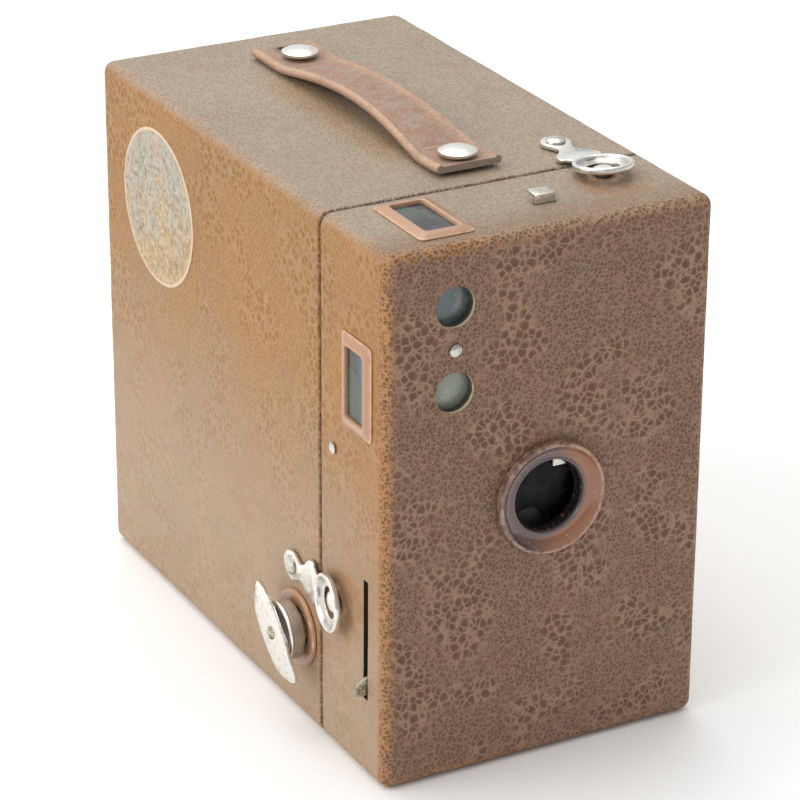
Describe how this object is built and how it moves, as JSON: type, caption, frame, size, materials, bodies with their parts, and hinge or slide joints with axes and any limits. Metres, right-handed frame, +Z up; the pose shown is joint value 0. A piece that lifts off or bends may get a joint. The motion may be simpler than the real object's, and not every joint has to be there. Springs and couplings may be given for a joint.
{
  "type": "box camera",
  "caption": "Leather-covered box camera for roll film, with two brilliant finders, a rotary shutter, a winding key and a slide-out film carrier",
  "frame": {"origin": "middle of the flat underside of the closed camera, halfway between its front and back faces", "axes": "+Z up, +Y from the lens towards the back, -X towards the side with the winding key and the shutter lever"},
  "size_m": [0.0812, 0.1344, 0.1205],
  "materials": {
    "leatherette": "ochre-brown pebbled leather cloth over card and tin, satin, darker in the pits and browner on the front",
    "enamel": "copper-brown stoved enamel, glossy, a little worn on the edges",
    "nickel": "nickel plate, worn and slightly dulled",
    "black_tin": "matt black lacquered tin",
    "blued_steel": "dark blued steel, semi-matt",
    "brass": "aged brass",
    "glass": "clear polished glass",
    "mirror": "silvered glass",
    "red_celluloid": "deep red transparent celluloid",
    "strap_leather": "reddish-brown leather with raised, paler edges",
    "foil": "worn gold and silver foil paper"
  },
  "bodies": {
    "casing": {"rear_casing": "leatherette", "red_window_ring": "enamel", "red_window": "red_celluloid", "foil_seal": "foil", "key_escutcheon": "enamel", "top_latch_foot": "nickel", "top_latch_rivet": "nickel", "side_latch_foot": "nickel", "side_latch_rivet": "nickel", "strap_stud_front": "nickel", "strap_stud_rear": "nickel", "strap_front_end": "strap_leather"},
    "front": {"front_shell": "leatherette", "light_trap": "black_tin", "lens_ring": "enamel", "shutter_plate": "black_tin", "lens_cell": "black_tin", "meniscus_lens": "glass", "shutter_disc_post": "brass", "shutter_lever_post": "brass", "shutter_spring": "blued_steel", "finder_lens_upper": "glass", "finder_lens_lower": "glass", "finder_rivet": "nickel", "finder_mirror_upper": "mirror", "finder_mirror_lower": "mirror", "finder_housing": "black_tin", "top_window_frame": "enamel", "top_window_glass": "glass", "side_window_frame": "enamel", "side_window_glass": "glass", "front_board": "black_tin", "light_cone": "black_tin", "film_gate": "black_tin", "spool_bracket_left": "black_tin", "spool_bracket_right": "black_tin", "supply_pin_left": "nickel", "supply_pin_right": "nickel", "takeup_pin_right": "nickel", "top_latch_stud": "nickel", "side_latch_stud": "nickel", "nail_left": "brass", "nail_right": "brass"},
    "shutter_disc": {"shutter_disc": "blued_steel"},
    "shutter_lever": {"shutter_lever": "nickel"},
    "time_slide": {"time_slide": "nickel"},
    "takeup_spool": {"takeup_spool": "blued_steel"},
    "supply_spool": {"supply_spool": "blued_steel"},
    "upper_roller": {"upper_roller": "nickel"},
    "lower_roller": {"lower_roller": "nickel"},
    "key_bush": {"key_bush": "brass"},
    "key": {"key_cup": "nickel", "key_leaf": "nickel", "key_rivet": "nickel", "key_shaft": "nickel"},
    "top_latch": {"top_latch": "nickel"},
    "side_latch": {"side_latch": "nickel"},
    "strap_grip": {"strap_grip": "strap_leather"},
    "strap_rear": {"strap_rear_end": "strap_leather"}
  },
  "joints": [
    {"name": "front_slide", "type": "slide", "parent": "casing", "child": "front", "axis": [0, -1, 0], "range_m": [0, 0.12]},
    {"name": "top_latch_lift", "type": "hinge", "parent": "casing", "child": "top_latch", "pos_m": [0.0228, -0.0313, 0.1157], "axis": [-1, 0, 0], "range_deg": [0, 12], "stiffness_Nm_per_rad": 0.02},
    {"name": "side_latch_lift", "type": "hinge", "parent": "casing", "child": "side_latch", "pos_m": [-0.03745, -0.0313, 0.0343], "axis": [0, 0, -1], "range_deg": [0, 12], "stiffness_Nm_per_rad": 0.02},
    {"name": "takeup_turn", "type": "hinge", "parent": "front", "child": "takeup_spool", "pos_m": [0, -0.0286, 0.0205], "axis": [1, 0, 0], "continuous": true},
    {"name": "supply_turn", "type": "hinge", "parent": "front", "child": "supply_spool", "pos_m": [0, -0.0286, 0.0945], "axis": [1, 0, 0], "continuous": true},
    {"name": "upper_roller_turn", "type": "hinge", "parent": "front", "child": "upper_roller", "pos_m": [0, 0.057, 0.1045], "axis": [1, 0, 0], "continuous": true},
    {"name": "lower_roller_turn", "type": "hinge", "parent": "front", "child": "lower_roller", "pos_m": [0, 0.057, 0.0105], "axis": [1, 0, 0], "continuous": true},
    {"name": "key_turn", "type": "hinge", "parent": "casing", "child": "key_bush", "pos_m": [-0.03675, -0.0286, 0.0205], "axis": [1, 0, 0], "continuous": true},
    {"name": "key_pull", "type": "slide", "parent": "key_bush", "child": "key", "axis": [-1, 0, 0], "range_m": [0, 0.006]},
    {"name": "lever_swing", "type": "hinge", "parent": "front", "child": "shutter_lever", "pos_m": [-0.008, -0.058, 0.031], "axis": [0, 1, 0], "range_deg": [0, 39.8]},
    {"name": "disc_swing", "type": "hinge", "parent": "front", "child": "shutter_disc", "pos_m": [0.009, -0.06165, 0.051], "axis": [0, 1, 0], "range_deg": [0, 86.5]},
    {"name": "time_slide_lift", "type": "slide", "parent": "front", "child": "time_slide", "axis": [0, 0, 1], "range_m": [0, 0.003]},
    {"name": "strap_lift", "type": "slide", "parent": "casing", "child": "strap_grip", "axis": [0, 0, 1], "range_m": [0, 0.008]},
    {"name": "strap_rear_slip", "type": "slide", "parent": "strap_grip", "child": "strap_rear", "axis": [0, -0.53, -0.848], "range_m": [0, 0.0095]}
  ],
  "couplings": [
    {"joint": "key_turn", "follows": "takeup_turn", "ratio": 1},
    {"joint": "disc_swing", "follows": "lever_swing", "ratio": 2.16},
    {"joint": "strap_rear_slip", "follows": "strap_lift", "ratio": 1.1792}
  ]
}
